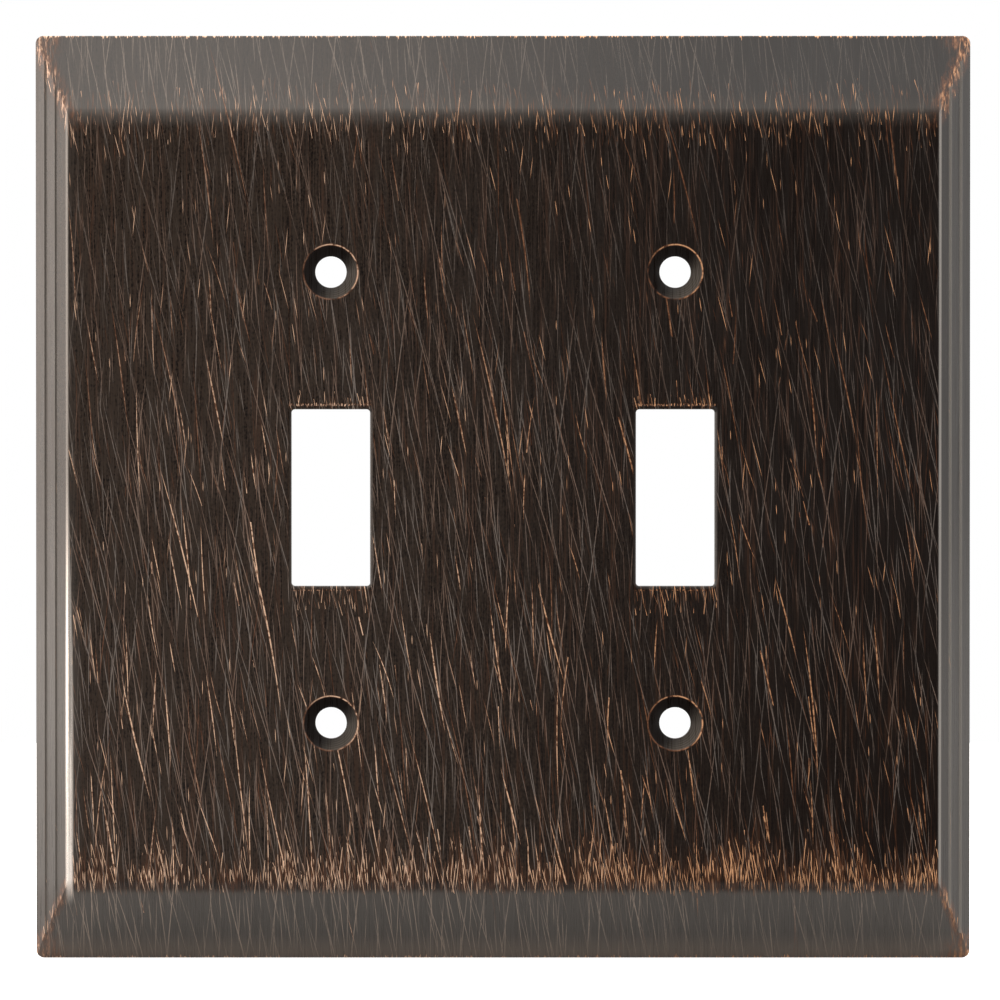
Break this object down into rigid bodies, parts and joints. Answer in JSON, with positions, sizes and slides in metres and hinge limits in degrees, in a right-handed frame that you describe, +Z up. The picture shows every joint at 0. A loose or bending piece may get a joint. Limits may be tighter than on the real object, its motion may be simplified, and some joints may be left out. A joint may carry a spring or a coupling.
{
  "type": "wall plate cover",
  "caption": "Two-gang toggle wall plate with wide plain slopes above and below, stepped side edges and countersunk holes, with its loose oval-head mounting screws.",
  "frame": {"origin": "centre of the rim that meets the wall, in the wall plane", "axes": "+Z up as mounted, -Y out of the wall towards the viewer, +X to the viewer's right"},
  "size_m": [0.1254, 0.0193, 0.1238],
  "materials": {
    "antique_bronze_plate": "brushed near-black brown patina over copper plate, satin, worn to copper in hair scratches and along edges",
    "antique_bronze_screw": "the same dark bronze patina, satin, worn to copper at the slot and rim"
  },
  "bodies": {
    "plate": {"wall_plate": "antique_bronze_plate"},
    "screw_1": {"mounting_screw_1": "antique_bronze_screw"},
    "screw_2": {"mounting_screw_2": "antique_bronze_screw"},
    "screw_3": {"mounting_screw_3": "antique_bronze_screw"},
    "screw_4": {"mounting_screw_4": "antique_bronze_screw"}
  },
  "joints": [
    {"name": "screw_1_lift", "type": "slide", "parent": "plate", "child": "screw_1", "axis": [0, 0, 1], "range_m": [0, 0.02]},
    {"name": "screw_2_lift", "type": "slide", "parent": "plate", "child": "screw_2", "axis": [0, 0, 1], "range_m": [0, 0.02]},
    {"name": "screw_3_lift", "type": "slide", "parent": "plate", "child": "screw_3", "axis": [0, 0, 1], "range_m": [0, 0.02]},
    {"name": "screw_4_lift", "type": "slide", "parent": "plate", "child": "screw_4", "axis": [0, 0, 1], "range_m": [0, 0.02]}
  ]
}
